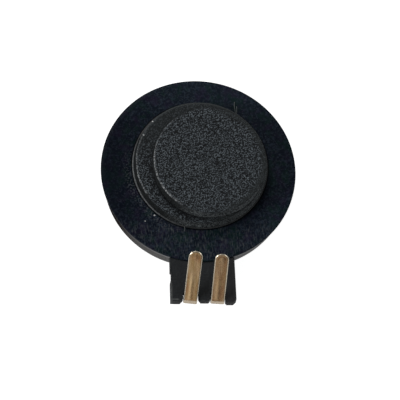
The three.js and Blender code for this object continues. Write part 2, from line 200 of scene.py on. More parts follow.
def area_light(name, azimuth, elevation, distance, size, power):
    """A square soft light that looks at the motor."""
    back = direction(math.radians(azimuth), math.radians(elevation))
    data = bpy.data.lights.new(name, "AREA")
    data.size = size
    data.energy = power
    light = bpy.data.objects.new(name, data)
    bpy.context.scene.collection.objects.link(light)
    light.rotation_mode = "QUATERNION"
    light.rotation_quaternion = back.to_track_quat("Z", "Y")
    light.location = back * distance


def make_lights():
    """Four soft lights in a pale, dim room."""
    for name, light in LIGHTS.items():
        area_light(name, **light)
    world = bpy.data.worlds.new("studio")
    world.use_nodes = True
    background = world.node_tree.nodes["Background"]
    background.inputs["Color"].default_value = SKY_COLOUR
    background.inputs["Strength"].default_value = SKY_STRENGTH
    bpy.context.scene.world = world
    bpy.context.scene.view_settings.view_transform = "Standard"


def make_floor():
    """A white sweep that glows a little, so that the motor's shadow stays faint."""
    bm = bmesh.new()
    bmesh.ops.create_grid(bm, x_segments=2, y_segments=2, size=FLOOR_HALF_WIDTH)
    data = bpy.data.meshes.new("floor")
    bm.to_mesh(data)
    bm.free()
    floor = bpy.data.objects.new("floor", data)
    bpy.context.scene.collection.objects.link(floor)
    floor.location.z = min(0.0, cad_low.z) - FLOOR_GAP
    pale = bpy.data.materials.new("floor_pale")
    pale.use_nodes = True
    nodes, links = pale.node_tree.nodes, pale.node_tree.links
    shader = nodes["Principled BSDF"]
    shader.inputs["Base Color"].default_value = (FLOOR_GREY, FLOOR_GREY, FLOOR_GREY, 1)
    shader.inputs["Roughness"].default_value = 0.9
    shader.inputs["Specular IOR Level"].default_value = 0.0
    shader.inputs["Emission Color"].default_value = (1, 1, 1, 1)
    glow = nodes.new("ShaderNodeMapRange")
    glow.inputs["To Min"].default_value = FLOOR_GLOW
    glow.inputs["To Max"].default_value = FLOOR_GLOW_SEEN
    links.new(nodes.new("ShaderNodeLightPath").outputs["Is Camera Ray"], glow.inputs["Value"])
    links.new(glow.outputs["Result"], shader.inputs["Emission Strength"])
    data.materials.append(pale)
    floor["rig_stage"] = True


make_lights()
make_floor()

# ---------------------------------------------------------------- material tools


class Look:
    """A Principled material. Its textures lie in the motor's frame and move with each piece.

    Texture sizes and bump depths are in millimetres.
    """

    def __init__(self, name, metallic=0.0, roughness=0.5, specular=0.5):
        self.material = bpy.data.materials.new(name)
        self.material.use_nodes = True
        self.nodes = self.material.node_tree.nodes
        self.links = self.material.node_tree.links
        self.shader = self.nodes["Principled BSDF"]
        self.shader.inputs["Metallic"].default_value = metallic
        self.shader.inputs["Roughness"].default_value = roughness
        self.shader.inputs["Specular IOR Level"].default_value = specular
        self.place = self.nodes.new("ShaderNodeTexCoord").outputs["Object"]

    def put(self, value, socket):
        """Sets a socket to a number or colour, or links it to another node's output."""
        if isinstance(value, bpy.types.NodeSocket):
            self.links.new(value, socket)
        elif isinstance(value, tuple) and len(value) == 3 and socket.type == "RGBA":
            socket.default_value = (*value, 1)
        else:
            socket.default_value = value

    def stretched(self, x=1.0, y=1.0, z=1.0, turn=0.0):
        """The place, scaled along each axis after a turn about Z."""
        mapping = self.nodes.new("ShaderNodeMapping")
        mapping.vector_type = "TEXTURE"
        mapping.inputs["Scale"].default_value = (x, y, z)
        mapping.inputs["Rotation"].default_value = (0, 0, turn)
        self.links.new(self.place, mapping.inputs["Vector"])
        return mapping.outputs["Vector"]

    def noise(self, size, detail=3.0, roughness=0.6, place=None):
        """Smooth random values from about 0.2 to 0.8, with features this many millimetres across."""
        texture = self.nodes.new("ShaderNodeTexNoise")
        texture.inputs["Scale"].default_value = 1 / (size * MM)
        texture.inputs["Detail"].default_value = detail
        texture.inputs["Roughness"].default_value = roughness
        self.links.new(place or self.place, texture.inputs["Vector"])
        return texture.outputs["Fac"]

    def ranged(self, value, low, high, to_low=0.0, to_high=1.0):
        """Goes from to_low to to_high as the value goes from low to high, and stays there beyond them."""
        node = self.nodes.new("ShaderNodeMapRange")
        self.put(value, node.inputs["Value"])
        self.put(low, node.inputs["From Min"])
        self.put(high, node.inputs["From Max"])
        self.put(to_low, node.inputs["To Min"])
        self.put(to_high, node.inputs["To Max"])
        return node.outputs["Result"]

    def axis(self, name):
        """The place's X, Y or Z."""
        node = self.nodes.new("ShaderNodeSeparateXYZ")
        self.links.new(self.place, node.inputs["Vector"])
        return node.outputs[name]

    def along(self, name, start, end, to_start=0.0, to_end=1.0):
        """The same as ranged, from one place on an axis to another, in millimetres."""
        return self.ranged(self.axis(name), start * MM, end * MM, to_start, to_end)

    def maths(self, operation, first, second=0.0):
        node = self.nodes.new("ShaderNodeMath")
        node.operation = operation
        self.put(first, node.inputs[0])
        self.put(second, node.inputs[1])
        return node.outputs["Value"]

    def times(self, *values):
        """The product of two or more values."""
        product, *others = values
        for other in others:
            product = self.maths("MULTIPLY", product, other)
        return product

    def mixed(self, share, first, second):
        """The first colour where the share is 0 and the second where it is 1."""
        node = self.nodes.new("ShaderNodeMix")
        node.data_type = "RGBA"
        self.put(share, node.inputs["Factor"])
        self.put(first, node.inputs["A"])
        self.put(second, node.inputs["B"])
        return node.outputs["Result"]

    def laid(self, base, colour, value, low, high, share=1.0):
        """Lays a colour over the base, from none at the value's low to this share at its high."""
        return self.mixed(self.ranged(value, low, high, 0.0, share), base, colour)

    def from_axis(self, x, y):
        """Distance from the upright line through x, y."""
        aside = self.maths("SUBTRACT", self.axis("X"), x)
        ahead = self.maths("SUBTRACT", self.axis("Y"), y)
        squares = self.maths("ADD", self.times(aside, aside), self.times(ahead, ahead))
        return self.maths("SQRT", squares)

    def marked(self, name):
        """The mesh's own mark of that name, from 0 to 1, such as where a piece is worn, or where a painted
        highlight or painted shade lies.
        """
        node = self.nodes.new("ShaderNodeAttribute")
        node.attribute_name = name
        return node.outputs["Fac"]

    def band(self, value, low, high, soft):
        """1 where the value lies between low and high, falling to 0 over soft on both sides."""
        rising = self.ranged(value, low - soft, low)
        falling = self.ranged(value, high, high + soft, 1.0, 0.0)
        return self.times(rising, falling)

    def colour(self, value):
        self.put(value, self.shader.inputs["Base Color"])

    def rough(self, value):
        self.put(value, self.shader.inputs["Roughness"])

    def bump(self, height, depth):
        """Raises the surface by up to this many millimetres. A second call adds to the first."""
        node = self.nodes.new("ShaderNodeBump")
        node.inputs["Distance"].default_value = depth * MM
        self.put(height, node.inputs["Height"])
        normal = self.shader.inputs["Normal"]
        if normal.is_linked:
            self.links.new(normal.links[0].from_socket, node.inputs["Normal"])
        self.links.new(node.outputs["Normal"], normal)


# ---------------------------------------------------------------- looks of the steel


def painted_side_shade(look, base):
    """Painted shade on the -X side of a steel piece: it darkens to brown, then near black, and loses its metal
    sheen there.
    """
    shade_brown = (0.034, 0.029, 0.025)
    shade_black = (0.014, 0.011, 0.010)
    look.put(look.along("X", -3.9, -2.6), look.shader.inputs["Metallic"])
    look.shader.inputs["Specular IOR Level"].default_value = 0.0
    # painted shade: the -X side goes brown, then near black
    half_shaded = look.mixed(look.along("X", -3.0, -1.4, 0.5, 0.0), base, shade_brown)
    return look.mixed(look.along("X", -4.1, -2.9, 0.95, 0.0), half_shaded, shade_black)


def look_case():
    """Drawn, lightly tumbled steel with rubbing marks, stains and a ring round the shaft's seat."""
    dark_grey = (0.135, 0.133, 0.132)
    light_grey = (0.27, 0.268, 0.268)
    drawn_grey = (0.10, 0.095, 0.09)
    stain_brown = (0.085, 0.072, 0.060)
    seat_brown = (0.050, 0.045, 0.040)
    seat_inside = 0.36 * MM
    seat_outside = 0.42 * MM
    seat_fade = 0.03 * MM
    look = Look("case_steel", metallic=1.0)
    cloud = look.noise(0.9, 4)
    grain = look.noise(0.05, 3)
    rub = look.noise(0.03, 2, place=look.stretched(9, 1, 1, 0.5))
    drawn = look.noise(0.045, 2, place=look.stretched(1, 1, 12))
    stain = look.noise(0.5, 3)
    shaft_seat = look.band(look.from_axis(0, 0), seat_inside, seat_outside, seat_fade)
    base = look.mixed(cloud, dark_grey, light_grey)
    base = look.laid(base, drawn_grey, drawn, 0.42, 0.65, share=0.35)
    base = look.laid(base, stain_brown, stain, 0.5, 0.7, share=0.4)
    base = look.mixed(look.times(shaft_seat, 0.6), base, seat_brown)
    # painted shade on the case's -X side
    look.colour(painted_side_shade(look, base))
    look.rough(look.ranged(look.maths("ADD", cloud, rub), 0.6, 1.4, 0.26, 0.5))
    look.bump(shaft_seat, 0.008)
    look.bump(rub, 0.0015)
    look.bump(grain, 0.002)
    look.bump(drawn, 0.0015)
    return look.material


def look_steel(name, colour, roughness):
    """Plain machined or sheet steel with a fine random grain."""
    look = Look(name, metallic=1.0)
    cloud = look.noise(0.6, 3)
    grain = look.noise(0.04, 3)
    dark = tuple(part * 0.75 for part in colour)
    # painted shade on the -X side
    look.colour(painted_side_shade(look, look.mixed(cloud, dark, colour)))
    look.rough(look.ranged(grain, 0.3, 0.7, roughness * 0.7, roughness * 1.3))
    look.bump(grain, 0.0015)
    return look.material


# ---------------------------------------------------------------- look of the film


def film_mottle(look, cloud, mottle, grit):
    """The film's colour: blue-black with teal and violet clouds, lighter towards +X and +Y as painted light, and
    darker towards -X as painted shade.
    """
    deep_blue = (0.0010, 0.0028, 0.0085)
    slate_blue = (0.0034, 0.0072, 0.0150)
    dark_teal = (0.0022, 0.0100, 0.0098)
    dark_violet = (0.0070, 0.0056, 0.0160)
    painted_light_right = (0.0120, 0.0160, 0.0260)
    painted_light_top = (0.0140, 0.0220, 0.0300)
    mottle_blue = (0.0200, 0.0290, 0.0440)
    grit_blue = (0.0480, 0.0570, 0.0680)
    bright_teal = (0.0050, 0.0210, 0.0175)
    bright_violet = (0.0180, 0.0110, 0.0330)
    painted_shade_left = (0.0006, 0.0012, 0.0052)
    teal = look.noise(0.55, 2)
    violet = look.noise(0.7, 2, place=look.stretched(turn=1.1))
    base = look.mixed(cloud, deep_blue, slate_blue)
    base = look.laid(base, dark_teal, teal, 0.46, 0.62, share=0.8)
    base = look.laid(base, dark_violet, violet, 0.50, 0.66, share=0.7)
    # painted light: lighter towards +X and +Y
    base = look.mixed(look.along("X", -2.4, 2.5, 0.0, 0.25), base, painted_light_right)
    base = look.mixed(look.along("Y", 1.5, 4.2, 0.0, 0.25), base, painted_light_top)
    base = look.laid(base, mottle_blue, mottle, 0.50, 0.64, share=0.85)
    base = look.laid(base, grit_blue, grit, 0.56, 0.68, share=0.4)
    base = look.laid(base, bright_teal, teal, 0.50, 0.62, share=0.35)
    base = look.laid(base, bright_violet, violet, 0.53, 0.66, share=0.35)
    # painted shade: darker towards -X
    return look.mixed(look.along("X", -2.0, -4.4, 0.0, 0.6), base, painted_shade_left)


def film_marks(look, base, grit):
    """Scuffs towards the tab, and round the tape: a patch of painted shadow from the pads, dust, and a thin ring
    of painted contact shadow.
    """
    scuff_grey = (0.052, 0.060, 0.066)
    pad_shadow_black = (0.0010, 0.0014, 0.0024)
    dust_grey = (0.110, 0.118, 0.125)
    contact_shadow_black = (0.0008, 0.0010, 0.0016)
    tape_x, tape_y, _, _, _ = box_disc("foam_adhesive")
    from_tape_centre = look.from_axis(tape_x, tape_y)

    streak = look.noise(0.048, 1, place=look.stretched(1, 6, 1, 0.05))
    scuffed = look.times(look.ranged(streak, 0.53, 0.74), look.along("Y", -2.7, -3.3))
    base = look.mixed(look.times(scuffed, 0.9), base, scuff_grey)

    # painted shadow of the pads on the film, on their +X and -Y side
    painted_pad_shadow = look.times(
        look.ranged(from_tape_centre, LOWER_TAPE_RADIUS + 0.4 * MM, LOWER_TAPE_RADIUS, 0.0, 0.75),
        look.along("X", 0.3, 2.0),
        look.along("Y", 0.6, -1.0),
    )
    base = look.mixed(painted_pad_shadow, base, pad_shadow_black)

    dusty = look.times(
        look.band(from_tape_centre, LOWER_TAPE_RADIUS + 0.1 * MM, LOWER_TAPE_RADIUS + 0.3 * MM, 0.25 * MM),
        look.ranged(grit, 0.52, 0.60),
        look.along("X", -0.4, -2.0, 0.0, 0.3),
        look.along("Y", 1.8, -0.4),
    )
    base = look.mixed(dusty, base, dust_grey)

    # painted contact shadow: a thin black ring just outside the tape
    ring = look.band(from_tape_centre, LOWER_TAPE_RADIUS, LOWER_TAPE_RADIUS + 0.05 * MM, 0.03 * MM)
    return look.mixed(look.times(ring, 0.85), base, contact_shadow_black)


def look_film():
    """A blue-black plastic film with a soft sheen and a slightly uneven face."""
    look = Look("black_film", specular=0.045)
    cloud = look.noise(1.3, 3)
    mottle = look.noise(0.13, 2, 0.6)
    grit = look.noise(0.075, 1)
    base = film_mottle(look, cloud, mottle, grit)
    look.colour(film_marks(look, base, grit))
    look.rough(look.ranged(mottle, 0.3, 0.7, 0.30, 0.50))
    look.bump(mottle, 0.006)
    look.bump(cloud, 0.02)
    return look.material


# ---------------------------------------------------------------- looks of the foam and the tape


def foam_face(look, pad, x, y, grain, fine):
    """The cut face: grey and grainy, pressed smooth at its +X edge and calmer towards +Y.

    x, y is the pad's middle. Painted shade darkens the corner under a pad that stands on it, and a painted
    highlight lightens the face's rim towards +Y.
    """
    pore_black = (0.0003, 0.0005, 0.0009)
    mid_grey = (0.0160, 0.0192, 0.0230)
    cell_grey = (0.124, 0.145, 0.160)
    fine_grey = (0.040, 0.046, 0.051)
    broad_grey = (0.020, 0.024, 0.025)
    pressed_grey = (0.0170, 0.0205, 0.0205)
    calm_grey = (0.0150, 0.0180, 0.0190)
    corner_shade_black = (0.0030, 0.0036, 0.0042)
    highlight_grey = (0.080, 0.090, 0.092)
    radius = pad["top_radius"]
    across = look.axis("X")
    from_centre = look.from_axis(x, y)

    face = look.mixed(look.ranged(grain, 0.42, 0.52), pore_black, mid_grey)
    face = look.laid(face, cell_grey, grain, 0.55, 0.66, share=0.9)
    face = look.laid(face, fine_grey, fine, 0.5, 0.8, share=0.3)
    face = look.laid(face, broad_grey, look.noise(1.1, 2), 0.42, 0.7, share=0.2)

    near_edge = look.ranged(from_centre, radius - 0.34 * MM, radius - 0.16 * MM, 0.0, 0.7)
    pressed = look.times(near_edge, look.ranged(across, x, x + 0.45 * radius))
    face = look.mixed(pressed, face, pressed_grey)
    calmed = look.ranged(look.axis("Y"), y - 0.1 * radius, y + 0.5 * radius, 0.0, pad["calm"])
    face = look.mixed(calmed, face, calm_grey)
    if pad["above"]:
        above_x, above_y, above_radius, _, _ = box_disc(pad["above"])
        # painted shade in the corner under the pad above, strongest on the -X side
        from_above = look.from_axis(above_x, above_y)
        shaded_near_above = look.ranged(from_above, above_radius + 0.20 * MM, above_radius, 0.0, 0.8)
        corner = look.times(shaded_near_above, look.ranged(across, x + 0.35 * radius, x))
        face = look.mixed(corner, face, corner_shade_black)
        # painted highlight: a light rim near the face's edge, towards +Y
        painted_highlight = look.ranged(from_centre, radius - 0.13 * MM, radius - 0.05 * MM, 0.0, 0.6)
        face = look.mixed(look.times(painted_highlight, calmed), face, highlight_grey)
    return face


def foam_wall(look, pad, x, grain):
    """The wall, in painted light and shade: smoother and dark on the -X side, open and lighter elsewhere, and
    darkened towards black by the pad's wall brightness.
    """
    shaded_wall_dark = (0.0030, 0.0038, 0.0042)
    shaded_wall_light = (0.0230, 0.0260, 0.0270)
    lit_wall_dark = (0.0080, 0.0100, 0.0110)
    lit_wall_light = (0.1450, 0.1600, 0.1660)
    wall_shade_black = (0.0, 0.0, 0.0)
    radius = pad["top_radius"]
    # painted shade on the -X side of the wall, painted light elsewhere, and painted shade over the whole wall
    shaded_wall = look.mixed(look.ranged(grain, 0.36, 0.64), shaded_wall_dark, shaded_wall_light)
    lit_wall = look.mixed(look.ranged(grain, 0.42, 0.60), lit_wall_dark, lit_wall_light)
    side = look.ranged(look.axis("X"), x - 0.62 * radius, x - 0.25 * radius)
    return look.mixed(1 - pad["wall_painted_brightness"], look.mixed(side, shaded_wall, lit_wall), wall_shade_black)


def look_foam(node):
    """Dense charcoal foam, with a painted highlight of bright beads along its top edge on the -X side."""
    highlight_bead_white = (0.36, 0.37, 0.375)
    highlight_bead_fade = 0.14
    pad = PADS[node]
    x, y, _, _, top = box_disc(node)
    radius = pad["top_radius"]
    look = Look(node, roughness=0.68, specular=0.2)
    fine = look.noise(0.036, 1, 0.6)
    grain = look.maths("ADD", look.noise(0.056, 0), look.ranged(fine, 0.3, 0.7, -0.09, 0.09))
    near_top = look.ranged(look.axis("Z"), top - 0.09 * MM, top - 0.03 * MM)
    shade = look.mixed(near_top, foam_wall(look, pad, x, grain), foam_face(look, pad, x, y, grain, fine))

    no_highlight = x - (pad["bead_highlight_start"] - highlight_bead_fade) * radius
    full_highlight = x - pad["bead_highlight_start"] * radius
    # painted highlight: bright beads along the top edge on the -X side
    rim = look.times(
        look.ranged(look.from_axis(x, y), radius - 0.10 * MM, radius - 0.04 * MM),
        near_top,
        look.ranged(look.noise(0.085, 0, 0.5), 0.46, 0.62, 0.1, 1.0),
        look.ranged(look.axis("X"), no_highlight, full_highlight),
        look.ranged(look.axis("Y"), y + 0.45 * radius, y - 0.1 * radius, 0.25, 1.0),
    )
    look.colour(look.mixed(look.times(rim, pad["bead_highlight_share"]), shade, highlight_bead_white))
    look.bump(grain, 0.014)
    look.bump(fine, 0.006)
    return look.material


def look_tape():
    """The edge of clear double-sided tape, greyed with dust and lightened by a painted highlight, most of both on
    the -X and -Y sides.
    """
    clean = (0.012, 0.013, 0.014)
    dust_and_highlight_dark = (0.060, 0.065, 0.068)
    dust_and_highlight_light = (0.190, 0.200, 0.204)
    look = Look("adhesive_tape", roughness=0.4, specular=0.3)
    fleck = look.noise(0.12, 3)
    # dust and painted highlight, strongest on the -X and -Y sides
    dusty = look.times(look.along("X", -0.6, -2.4, 0.15, 1.0), look.along("Y", 1.6, 0.2, 0.1, 1.0))
    dust_and_highlight = look.mixed(look.ranged(fleck, 0.35, 0.65), dust_and_highlight_dark, dust_and_highlight_light)
    look.colour(look.mixed(dusty, clean, dust_and_highlight))
    look.bump(fleck, 0.004)
    return look.material


# ---------------------------------------------------------------- looks of the tab


def look_block():
    """Glass-filled moulded plastic with a fine spark-eroded skin, and a pale painted highlight along one corner's
    edges.
    """
    dark_grey = (0.0046, 0.0058, 0.0066)
    light_grey = (0.0165, 0.0195, 0.0212)
    blue_grey = (0.008, 0.0088, 0.012)
    red_grey = (0.0185, 0.0150, 0.0155)
    highlight_grey = (0.085, 0.089, 0.086)
    look = Look("terminal_plastic", roughness=0.55, specular=0.25)
    skin = look.noise(0.09, 3, 0.65)
    flow = look.noise(0.2, 3, place=look.stretched(1, 4, 1))
    base = look.mixed(look.ranged(skin, 0.36, 0.68), dark_grey, light_grey)
    base = look.laid(base, blue_grey, look.noise(0.35, 2), 0.4, 0.7, share=0.35)
    base = look.mixed(look.along("X", 0.9, 1.3, 0.0, 0.45), base, red_grey)

    low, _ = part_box("terminal_block")
    # painted highlight along the -X side and the end at one corner
    side_line = look.band(look.axis("X"), low.x + 0.02 * MM, low.x + 0.08 * MM, 0.02 * MM)
    side_edge = look.times(side_line, look.along("Y", -6.00, -6.15))
    end_line = look.band(look.axis("Y"), -7.08 * MM, -7.03 * MM, 0.02 * MM)
    end_edge = look.times(end_line, look.along("X", -1.08, -1.18))
    edges = look.maths("MAXIMUM", side_edge, end_edge)
    painted_highlight = look.times(edges, look.ranged(skin, 0.3, 0.6, 0.4, 1))
    look.colour(look.mixed(painted_highlight, base, highlight_grey))
    look.rough(look.ranged(flow, 0.3, 0.7, 0.42, 0.68))
    look.bump(skin, 0.008)
    look.bump(flow, 0.01)
    return look.material


def look_contact():
    """Plated phosphor bronze strip: rolled grain along the leaf, tarnish, pale rims and bend that are partly wear
    and partly painted highlight, a painted highlight streak and painted shade round the bump.
    """
    dark_bronze = (0.345, 0.187, 0.088)
    light_bronze = (0.460, 0.310, 0.143)
    red_bronze = (0.37, 0.205, 0.120)
    pale_bronze = (0.66, 0.48, 0.29)
    pit_brown = (0.28, 0.155, 0.07)
    highlight_gold = (0.86, 0.62, 0.34)
    bump_shade_brown = (0.150, 0.070, 0.035)
    worn_highlight_white = (0.86, 0.76, 0.60)
    look = Look("contact_alloy", metallic=1.0)
    tarnish = look.noise(0.55, 3)
    rolled = look.noise(0.028, 2, place=look.stretched(1, 14, 14))
    band = look.noise(0.16, 2, place=look.stretched(1, 8, 8))
    pits = look.noise(0.07, 4, 0.7)
    base = look.mixed(look.ranged(tarnish, 0.36, 0.64), dark_bronze, light_bronze)
    base = look.mixed(look.along("X", 0.1, 0.4, 0.0, 0.35), base, red_bronze)
    base = look.laid(base, pale_bronze, band, 0.45, 0.7, share=0.6)
    base = look.laid(base, pit_brown, pits, 0.56, 0.72, share=0.5)
    # painted highlight streak along the leaf
    base = look.mixed(look.times(look.marked("painted_highlight"), 0.65), base, highlight_gold)
    # painted shade in an arch round the bump
    base = look.mixed(look.times(look.marked("bump_shade"), 0.75), base, bump_shade_brown)
    # pale rims and bend: partly wear, partly painted highlight
    look.colour(look.mixed(look.marked("worn_and_highlight"), base, worn_highlight_white))
    look.rough(look.ranged(look.maths("ADD", rolled, tarnish), 0.7, 1.3, 0.20, 0.36))
    look.bump(rolled, 0.0015)
    look.bump(pits, 0.003)
    return look.material


def look_solder():
    """Dull tin with a slightly cloudy skin."""
    look = Look("solder", metallic=1.0)
    cloud = look.noise(0.15, 3)
    look.colour(look.mixed(cloud, (0.42, 0.42, 0.43), (0.66, 0.67, 0.68)))
    look.rough(look.ranged(cloud, 0.3, 0.7, 0.18, 0.4))
    look.bump(cloud, 0.008)
    return look.material


# ---------------------------------------------------------------- looks of the inside


def look_plastic(name, dark, light, roughness):
    """A moulded or laminated plastic with mottled colour."""
    look = Look(name, roughness=roughness, specular=0.45)
    mottle = look.noise(0.12, 4)
    look.colour(look.mixed(mottle, dark, light))
    look.rough(look.ranged(mottle, 0.3, 0.7, roughness * 0.8, roughness * 1.2))
    look.bump(mottle, 0.004)
    return look.material


def look_flex():
    """Polyimide flex circuit with two covered copper tracks."""
    track_inside, track_outside, track_fade = 0.24 * MM, 0.66 * MM, 0.02 * MM
    look = Look("flex_film", roughness=0.3, specular=0.45)
    mottle = look.noise(0.4, 3)
    film = look.mixed(mottle, (0.20, 0.070, 0.012), (0.32, 0.130, 0.025))
    aside = look.maths("ABSOLUTE", look.axis("X"))
    track = look.band(aside, track_inside, track_outside, track_fade)
    look.colour(look.mixed(look.times(track, 0.8), film, (0.46, 0.19, 0.055)))
    look.bump(track, 0.012)
    look.bump(mottle, 0.004)
    return look.material


def look_wire():
    """Enamelled copper wire."""
    look = Look("coil_copper", metallic=1.0, roughness=0.28)
    tone = look.noise(0.2, 2)
    look.colour(look.mixed(tone, (0.42, 0.15, 0.06), (0.66, 0.29, 0.13)))
    look.shader.inputs["Coat Weight"].default_value = 0.6
    return look.material


def look_alloy(name, dark, light, roughness, size=0.05, depth=0.004):
    """A pressed or plated metal with grains of this size and depth in millimetres."""
    look = Look(name, metallic=1.0)
    grain = look.noise(size, 4, 0.7)
    look.colour(look.mixed(look.ranged(grain, 0.35, 0.65), dark, light))
    look.rough(look.ranged(grain, 0.3, 0.7, roughness * 0.8, roughness * 1.25))
    look.bump(grain, depth)
    return look.material


def look_plated(name, dark, light, roughness):
    """A thinly plated metal, much smoother than a pressed one."""
    return look_alloy(name, dark, light, roughness, size=0.03, depth=0.001)


def look_lint(name, dark, light):
    """Fluff and grit from handling."""
    look = Look(name, roughness=0.9, specular=0.2)
    look.colour(look.mixed(look.noise(0.03), dark, light))
    return look.material


LOOKS = {
    "case_steel": look_case(),
    "plate_steel": look_steel("plate_steel", (0.38, 0.38, 0.39), 0.36),
    "shaft_steel": look_steel("shaft_steel", (0.72, 0.72, 0.73), 0.16),
    "black_film": look_film(),
    "terminal_plastic": look_block(),
    "contact_alloy": look_contact(),
    "solder": look_solder(),
    "washer_nylon": look_plastic("washer_nylon", (0.62, 0.58, 0.48), (0.75, 0.72, 0.64), 0.45),
    "magnet": look_alloy("magnet", (0.045, 0.045, 0.05), (0.10, 0.10, 0.11), 0.5),
    "flex_film": look_flex(),
    "brush_alloy": look_plated("brush_alloy", (0.55, 0.45, 0.28), (0.72, 0.60, 0.38), 0.25),
    "adhesive_tape": look_tape(),
    "rotor_resin": look_plastic("rotor_resin", (0.008, 0.009, 0.008), (0.022, 0.024, 0.022), 0.5),
    "circuit_board": look_plastic("circuit_board", (0.010, 0.09, 0.035), (0.02, 0.15, 0.06), 0.4),
    "sintered_bronze": look_alloy("sintered_bronze", (0.22, 0.12, 0.05), (0.42, 0.26, 0.12), 0.55),
    "tungsten_alloy": look_alloy("tungsten_alloy", (0.20, 0.20, 0.21), (0.34, 0.34, 0.35), 0.42),
    "coil_copper": look_wire(),
    "commutator_gold": look_plated("commutator_gold", (0.70, 0.45, 0.14), (0.85, 0.62, 0.24), 0.2),
}

GRIT = look_lint("grit", (0.42, 0.43, 0.43), (0.80, 0.80, 0.79))
FLUFF = look_lint("fluff", (0.070, 0.078, 0.080), (0.16, 0.17, 0.17))

# ---------------------------------------------------------------- mesh tools

ON_AXIS = 1e-9


def add_piece(name, bm, slot, body=MOTOR, replaces=(), smooth_angle=40.0, look=None):
    """Turns a bmesh into a piece with its material, shading and body."""
    bmesh.ops.recalc_face_normals(bm, faces=bm.faces)
    data = bpy.data.meshes.new(name)
    bm.to_mesh(data)
    bm.free()
    data.materials.append(look or LOOKS[slot])
    data.shade_smooth()
    data.set_sharp_from_angle(angle=math.radians(smooth_angle))
    piece = bpy.data.objects.new(name, data)
    bpy.context.scene.collection.objects.link(piece)
    if body:
        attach(piece, body)
    if replaces:
        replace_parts(piece, *replaces)
    return piece


def lathe(profile, steps, centre=(0.0, 0.0), ring_shaped=False):
    """A closed solid of revolution. The profile starts and ends on the axis, or is a loop round a ring."""
    bm = bmesh.new()
    rings = []
    for radius, height in profile:
        if radius < ON_AXIS:
            rings.append([bm.verts.new((centre[0], centre[1], height))])
            continue
        angles = [TURN * step / steps for step in range(steps)]
        rings.append([
            bm.verts.new((
                centre[0] + radius * math.cos(angle),
                centre[1] + radius * math.sin(angle),
                height,
            ))
            for angle in angles
        ])
    if ring_shaped:
        rings.append(rings[0])
    for lower, upper in zip(rings, rings[1:]):
        for step in range(steps):
            corners = [
                lower[step % len(lower)],
                lower[(step + 1) % len(lower)],
                upper[(step + 1) % len(upper)],
                upper[step % len(upper)],
            ]
            distinct = list(dict.fromkeys(corners))
            if len(distinct) > 2:
                bm.faces.new(distinct)
    return bm


def arc(centre, radius, start, end, steps):
    """Points of an arc in a [radius, height] profile, with its angles in degrees."""
    return [
        (
            centre[0] + radius * math.cos(math.radians(start + (end - start) * step / steps)),
            centre[1] + radius * math.sin(math.radians(start + (end - start) * step / steps)),
        )
        for step in range(steps + 1)
    ]


def tube(path, radius, sides=8):
    """A round fibre along points, closed at both ends."""
    bm = bmesh.new()
    rings = []
    for index, point in enumerate(path):
        along = (path[min(index + 1, len(path) - 1)] - path[max(index - 1, 0)]).normalized()
        across = along.cross(Vector((0, 0, 1))).normalized()
        up = across.cross(along)
        angles = [TURN * side / sides for side in range(sides)]
        rings.append([
            bm.verts.new(point + radius * (across * math.cos(angle) + up * math.sin(angle)))
            for angle in angles
        ])
    for near, far in zip(rings, rings[1:]):
        for side in range(sides):
            after = (side + 1) % sides
            bm.faces.new((near[side], near[after], far[after], far[side]))
    bm.faces.new(rings[0])
    bm.faces.new(rings[-1])
    return bm


def roughen(bm, size, depth, choose=lambda vert: True, seed=0.0):
    """Moves vertices along their normals by smooth noise of this size and depth."""
    bm.normal_update()
    shift = Vector((seed, seed * 0.7, seed * 1.3))
    moves = {
        vert: vert.normal * (depth * noise.noise(vert.co / size + shift))
        for vert in bm.verts
        if choose(vert)
    }
    for vert, move in moves.items():
        vert.co += move


# ---------------------------------------------------------------- case, plate and film

AROUND = 256
CASE_CORNER = 0.7 * MM
SHEET = 0.15 * MM
GROOVE_HALF = 0.08 * MM
GROOVE_DEPTH = 0.02 * MM
RIM_NOTCH_HALF = 1.05 * MM  # the flex leaves the case through a notch in its rim
RIM_NOTCH_LOW = 1.46 * MM


def make_case():
    """The drawn cup: a groove pressed in its face, a rounded corner and lip, and a notched rim."""
    radius, height = CASE_HIGH.x, CASE_HIGH.z
    lip = 0.03 * MM
    corner = (radius - CASE_CORNER, CASE_CORNER)
    groove_radius = 0.75 * radius
    profile = [
        (0, 0),
        (groove_radius - GROOVE_HALF, 0),
        (groove_radius, GROOVE_DEPTH),
        (groove_radius + GROOVE_HALF, 0),
        *arc(corner, CASE_CORNER, -90, 0, 12),
        *arc((radius - lip, height - lip), lip, 0, 90, 4),
        *arc((radius - SHEET + lip, height - lip), lip, 90, 180, 4),
        *arc(corner, CASE_CORNER - SHEET, 0, -90, 8),
        (0, SHEET),
    ]
    bm = lathe(profile, AROUND)
    for vert in bm.verts:
        if abs(vert.co.x) < RIM_NOTCH_HALF and vert.co.y < 0:
            vert.co.z = min(vert.co.z, RIM_NOTCH_LOW)
    return add_piece("case_shell", bm, "case_steel", replaces=["case_cup"])


